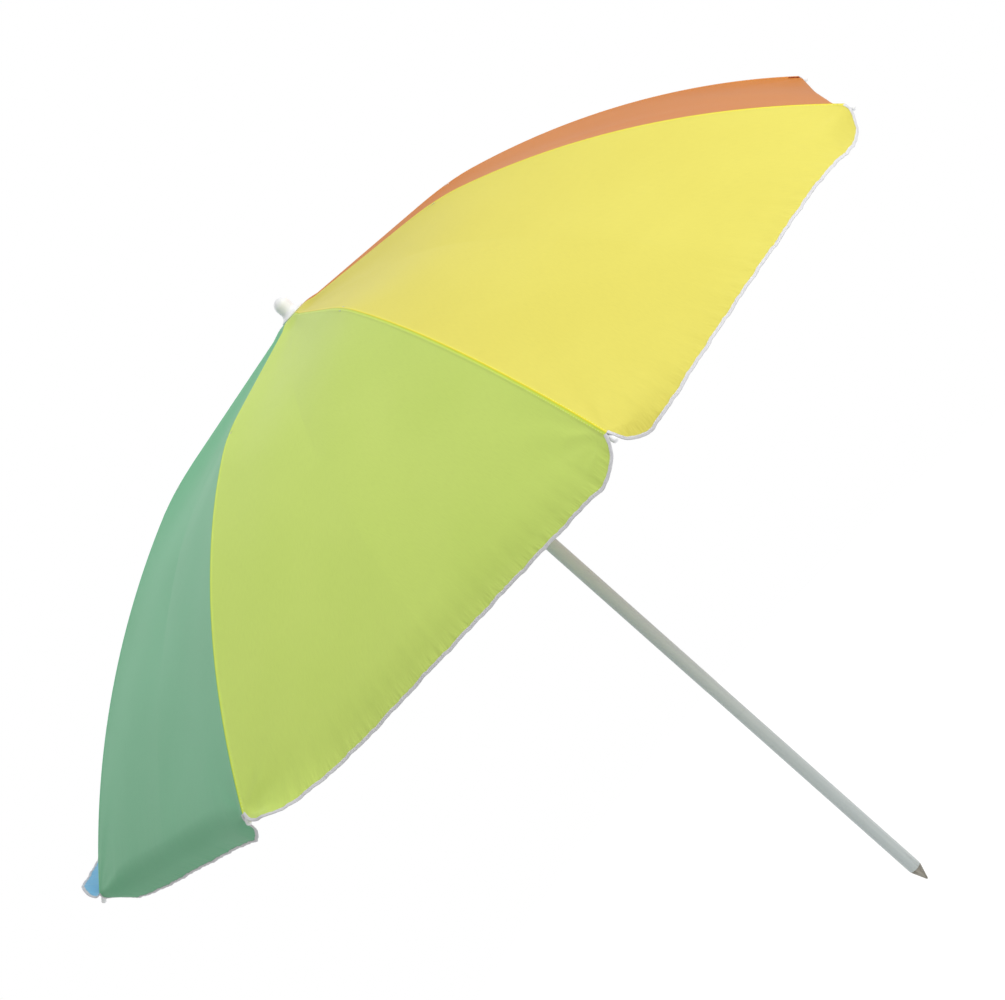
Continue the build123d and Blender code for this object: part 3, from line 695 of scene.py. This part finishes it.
def hem_frames(rib, side, samples):
    """Points on the hem with the cloth's inward, outward and upward directions there."""
    def at(depth):
        x, y = np.interp(samples, HEM_S, HEM_X), np.interp(samples, HEM_S, HEM_Y)
        after, before = samples + HEM_STEP, samples - HEM_STEP
        dx = np.interp(after, HEM_S, HEM_X) - np.interp(before, HEM_S, HEM_X)
        dy = np.interp(after, HEM_S, HEM_Y) - np.interp(before, HEM_S, HEM_Y)
        size = np.maximum(np.hypot(dx, dy), 1e-12)
        x, y = x + depth * dy / size, y - depth * dx / size
        rib_x = x * math.cos(HALF) + y * math.sin(HALF)
        rib_t = x * math.sin(HALF) - y * math.cos(HALF)
        return cloth_points(rib, side, rib_x, rib_t, samples - HEM_LENGTH, np.full_like(x, depth))

    edge, inside = at(0.0), at(TAPE_WIDTH)
    inward = inside - edge
    inward /= np.linalg.norm(inward, axis=1, keepdims=True)
    along = np.gradient(edge, axis=0)
    up = side * np.cross(along, inward)
    up /= np.linalg.norm(up, axis=1, keepdims=True)
    return edge - up * CLOTH / 2, inward, up


def sampled(rows, samples, at):
    """The row that lies at a sample's distance along the hem."""
    return np.array([np.interp(at, samples, column) for column in rows.T])


def make_tape(rib, side):
    """Binding folded over the hem of half a gore, gathered a little, with its row of stitches."""
    gore = gore_of(rib, side)
    samples = np.linspace(TAPE_START, HEM_LENGTH, int(HEM_LENGTH / TAPE_STEP))
    edge, inward, up = hem_frames(rib, side, samples)
    phase = random_phases(gore + 20, 6)
    s = side * (samples - HEM_LENGTH)
    gather = sum(0.5 * np.sin(2 * math.pi * s / wave + phase[i]) for i, wave in enumerate(TAPE_WAVES))
    width = TAPE_WIDTH * (1 + TAPE_WIDER * gather)
    thick = TAPE_HALF_THICKNESS * (1 + TAPE_THICKER * np.sin(2 * math.pi * s / TAPE_BEAT + phase[2]))
    points, uv = [], []
    around = len(PROFILE)
    for i in range(len(samples)):
        for j, (depth, rise) in enumerate(PROFILE):
            points.append(edge[i] + inward[i] * depth * width[i] + up[i] * rise * thick[i])
            uv.append((samples[i], j * TAPE_WIDTH / 5))
    faces = []
    for i in range(len(samples) - 1):
        for j in range(around):
            k = (j + 1) % around
            faces.append((i * around + j, i * around + k, (i + 1) * around + k, (i + 1) * around + j))
    faces.append(tuple(range(around)))
    faces.append(tuple(range(len(points) - around, len(points)))[::-1])
    kinds = [0] * len(faces)
    for start in np.arange(FIRST_STITCH, HEM_LENGTH - STITCH_LENGTH, STITCH_PITCH):
        ends = [sampled(edge, samples, v) for v in (start, start + STITCH_LENGTH)]
        into, over = sampled(inward, samples, start), sampled(up, samples, start)
        for face in (1, -1):
            add_stitch(points, uv, faces, kinds, ends, into, over * face)
    colour = COLOURS[gore - 1]
    name = f"hem_tape_{colour}_{'first' if side > 0 else 'last'}"
    obj = mesh_object(name, points, faces, [tape, thread], {"flat": uv}, kinds)
    carried(obj, rib, True)
    return obj


def add_stitch(points, uv, faces, kinds, ends, inward, up):
    """One stitch on the binding: a short thread, its ends sunk in the tape."""
    seat = TAPE_WIDTH * STITCH_SEAT
    lift = TAPE_HALF_THICKNESS * STITCH_LIFT
    base = len(points)
    middle = (ends[0] + ends[1]) / 2
    rings = (
        (ends[0], -0.8), (ends[0] * 0.7 + middle * 0.3, 0.7),
        (ends[1] * 0.7 + middle * 0.3, 0.7), (ends[1], -0.8),
    )
    for centre, rise in rings:
        for side, high in ((1, 0.0), (0, 1.0), (-1, 0.0), (0, -1.0)):
            offset = inward * (seat + side * STITCH_R) + up * (lift + (high + rise) * STITCH_R)
            points.append(centre + offset)
            uv.append((0.0, 0.0))
    for i in range(3):
        for j in range(4):
            k = (j + 1) % 4
            faces.append((base + 4 * i + j, base + 4 * i + k, base + 4 * i + 4 + k, base + 4 * i + 4 + j))
    faces.append((base, base + 1, base + 2, base + 3))
    faces.append((base + 15, base + 14, base + 13, base + 12))
    kinds.extend([1] * 14)


# ---------------------------------------------------------------- loops that hold the cloth to the ribs
def rib_station(distance):
    """(radius, height, slope) on a rib's centreline: distance from the tip along the outer rib."""
    slope = math.radians(TIP_DEG) - distance / RIB_ARC
    return arc_x + RIB_ARC * math.sin(slope), arc_z + RIB_ARC * math.cos(slope), slope


LOOP_BAND = 0.0005  # thickness of its cloth
LOOP_TURN = 2.2  # radians from the bottom of a loop to where its flares start
# Points of the flares: across, as a share of the loop's radius, and down from the cloth.
LOOP_FLARES = ((1.0, 0.0008), (1.35, 0.0), (0.0, 0.0), (-1.35, 0.0), (-1.0, 0.0008))
LOOP_PINCH = 0.05  # it is this share narrower and wider along its length


def make_loop(name, rib, body, station, half_length, inner_r, top, material):
    """A sewn band of cloth round a rib, flared where it is stitched under the seam.

    station is its place on the rib, as rib_station gives it, and top the height of its upper
    face above the rib's centreline.
    """
    r, z, slope = station
    fall = math.sin(slope) * math.tan(HALF)  # of the cloth on either side of its seam
    out = np.array([math.cos(slope), -math.sin(slope)])
    up = np.array([math.sin(slope), math.cos(slope)])
    section = []
    for grow in (0.0, LOOP_BAND):
        radius = inner_r + grow
        turns = np.linspace(-LOOP_TURN, LOOP_TURN, 15)
        ring = [(radius * math.sin(a), -radius * math.cos(a)) for a in turns]
        for w, d in LOOP_FLARES:
            ring.append((radius * w, top - LOOP_BAND + grow - fall * radius * abs(w) - d))
        section.append(ring)
    count = len(section[0])
    lengths = np.linspace(-half_length, half_length, 7)
    points, uv = [], []
    for i, along in enumerate(lengths):
        pinch = 1 + LOOP_PINCH * math.sin(3.1 * i + rib)
        for ring in section:
            for t, h in ring:
                x = r + along * out[0] + h * up[0]
                y = z + along * out[1] + h * up[1]
                side_t = t * (pinch if h < 0 else 1)
                points.append(to_world(rib, 1, np.float64(x), np.float64(side_t), np.float64(y)))
                uv.append((along, t))
    faces = []
    for i in range(len(lengths) - 1):
        for j in range(count):
            k = (j + 1) % count
            for layer in (0, 1):
                a = (2 * i + layer) * count
                b = (2 * i + 2 + layer) * count
                faces.append((a + j, a + k, b + k, b + j))
    last = 2 * (len(lengths) - 1) * count
    for start in (0, last):
        for j in range(count):
            k = (j + 1) % count
            faces.append((start + j, start + k, start + count + k, start + count + j))
    # a loop has no seam and no hem of its own, so both are far away
    far = {"seam": [(0.02, 0.0)] * len(uv), "hem": [(0.0, 1.0)] * len(uv)}
    obj = mesh_object(name, points, faces, [material], {"flat": uv, **far})
    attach(obj, body)
    return obj


LOOP_GAP = 0.0004  # between a loop and the cloth above it
POCKET_AT = 0.008  # from the rib's tip
POCKET_HALF_LENGTH, POCKET_R = 0.009, 0.0040
TIE_HALF_LENGTH, TIE_R = 0.0045, 0.0023
OUTER_TIE_AT = 0.30  # from the rib's tip
INNER_TIE_SHARE = 0.52  # of the way from the pole to the knee


def make_loops(rib):
    """The pocket that takes the rib's tip, and two ties along the rib."""
    colour = COLOURS[rib - 1]
    top = RIDGE_UP - CLOTH - LOOP_GAP
    make_loop(
        f"tip_pocket_{rib}", rib, f"outer_rib_{rib}", rib_station(POCKET_AT), POCKET_HALF_LENGTH, POCKET_R,
        top, fabric[colour],
    )
    make_loop(
        f"rib_tie_{rib}_outer", rib, f"outer_rib_{rib}", rib_station(OUTER_TIE_AT), TIE_HALF_LENGTH, TIE_R,
        top, tape,
    )
    r = KNEE * INNER_TIE_SHARE
    middle = (r, CANOPY_TOP - RIDGE_UP * math.hypot(1, SLOPE) - SLOPE * r, math.atan(SLOPE))
    make_loop(
        f"rib_tie_{rib}_inner", rib, f"rib_{rib}", middle, TIE_HALF_LENGTH, TIE_R, top, tape,
    )


# ---------------------------------------------------------------- camera, light and stage
CAMERA_AT = (-0.471, -2.883, 1.297)
CAMERA_HEADING = 80.70  # degrees anticlockwise from +X
CAMERA_PITCH = -8.00
CAMERA_ROLL = -48.39
CAMERA_LENS = 71.36  # on a sensor 36 mm wide


def make_camera():
    data = bpy.data.cameras.new("camera")
    data.lens = CAMERA_LENS
    data.clip_end = 60
    cam = bpy.data.objects.new("camera", data)
    heading, pitch = math.radians(CAMERA_HEADING), math.radians(CAMERA_PITCH)
    level = math.cos(pitch)
    look = Vector((level * math.cos(heading), level * math.sin(heading), math.sin(pitch)))
    roll = Quaternion((0, 0, 1), math.radians(CAMERA_ROLL))
    cam.rotation_mode = "QUATERNION"
    cam.rotation_quaternion = look.to_track_quat("-Z", "Y") @ roll
    cam.location = CAMERA_AT
    bpy.context.scene.collection.objects.link(cam)
    bpy.context.scene.camera = cam


KEY_FROM = Vector((0.95, -1.15, 0.85))  # upper side of the picture, towards the camera
KEY_DISTANCE = 2.0
LIGHT_AIM_Z = 1.1
KEY_SIZE = 1.8
KEY_POWER = 24.0
FILL_FROM = Vector((-0.75, 1.20, 0.60))  # the side away from the camera
FILL_DISTANCE = 2.6
FILL_SIZE = 2.0
FILL_POWER = 17.0
AMBIENT = 0.66
AMBIENT_TILT = 0.36  # share by which it is brighter from BRIGHT_SIDE, and dimmer from the other side
BRIGHT_SIDE = (0.93, -0.10, 0.35)
FLOOR_Z = -0.0005
FLOOR_RADIUS = 1.6
FLOOR_GREY, FLOOR_GLOW = 0.30, 0.87


def make_light(name, direction, distance, size, power):
    data = bpy.data.lights.new(name, "AREA")
    data.size = size
    data.energy = power
    lamp = bpy.data.objects.new(name, data)
    lamp.location = Vector((0, 0, LIGHT_AIM_Z)) + direction.normalized() * distance
    lamp.rotation_mode = "QUATERNION"
    lamp.rotation_quaternion = (-direction).to_track_quat("-Z", "Y")
    bpy.context.scene.collection.objects.link(lamp)


def make_world():
    """A white studio all round, which lights less than it shows."""
    world = bpy.data.worlds.new("studio")
    bpy.context.scene.world = world
    world.use_nodes = True
    tree = world.node_tree
    tree.nodes.clear()
    out = tree.nodes.new("ShaderNodeOutputWorld")
    soft, shown = tree.nodes.new("ShaderNodeBackground"), tree.nodes.new("ShaderNodeBackground")
    facing, brightness = tree.nodes.new("ShaderNodeVectorMath"), tree.nodes.new("ShaderNodeMath")
    facing.operation, brightness.operation = "DOT_PRODUCT", "MULTIPLY_ADD"
    tree.links.new(tree.nodes.new("ShaderNodeTexCoord").outputs["Generated"], facing.inputs[0])
    facing.inputs[1].default_value = BRIGHT_SIDE
    tree.links.new(facing.outputs["Value"], brightness.inputs[0])
    brightness.inputs[1].default_value = AMBIENT * AMBIENT_TILT
    brightness.inputs[2].default_value = AMBIENT
    tree.links.new(brightness.outputs[0], soft.inputs["Strength"])
    shown.inputs["Strength"].default_value = 1.0
    for background in (soft, shown):
        background.inputs["Color"].default_value = grey(1.0)
    path, mixed = tree.nodes.new("ShaderNodeLightPath"), tree.nodes.new("ShaderNodeMixShader")
    tree.links.new(path.outputs["Is Camera Ray"], mixed.inputs[0])
    tree.links.new(soft.outputs[0], mixed.inputs[1])
    tree.links.new(shown.outputs[0], mixed.inputs[2])
    tree.links.new(mixed.outputs[0], out.inputs["Surface"])


def make_floor():
    """A pale sweep under the umbrella, bright enough to run into the background."""
    s = Shader("studio_floor")
    face = s.node("BsdfDiffuse", {"Color": grey(FLOOR_GREY)}).outputs[0]
    lit = s.node("Emission", {"Color": grey(1.0), "Strength": FLOOR_GLOW}).outputs[0]
    material = s.finish(s.node("AddShader", {0: face, 1: lit}).outputs[0])
    ring = [
        (FLOOR_RADIUS * math.cos(a), FLOOR_RADIUS * math.sin(a), FLOOR_Z)
        for a in np.linspace(0, 2 * math.pi, 64, endpoint=False)
    ]
    mesh = bpy.data.meshes.new("studio_floor")
    mesh.from_pydata(ring, [], [tuple(range(len(ring)))])
    mesh.materials.append(material)
    floor = bpy.data.objects.new("studio_floor", mesh)
    bpy.context.scene.collection.objects.link(floor)


# ---------------------------------------------------------------- the umbrella
make_camera()
make_world()
make_floor()
make_light("key", KEY_FROM, KEY_DISTANCE, KEY_SIZE, KEY_POWER)
make_light("fill", FILL_FROM, FILL_DISTANCE, FILL_SIZE, FILL_POWER)

dress_cad_nodes()
inner_plan = inner_rows(rows=30, columns=34)
outer_plan = outer_rows(rows=34, edge_rows=18, columns=84)
for rib in range(1, RIBS + 1):
    for side in (1, -1):
        binding = make_tape(rib, side)
        make_cloth(rib, side, outer=False, plan=inner_plan)
        make_cloth(rib, side, outer=True, plan=outer_plan)
    make_loops(rib)
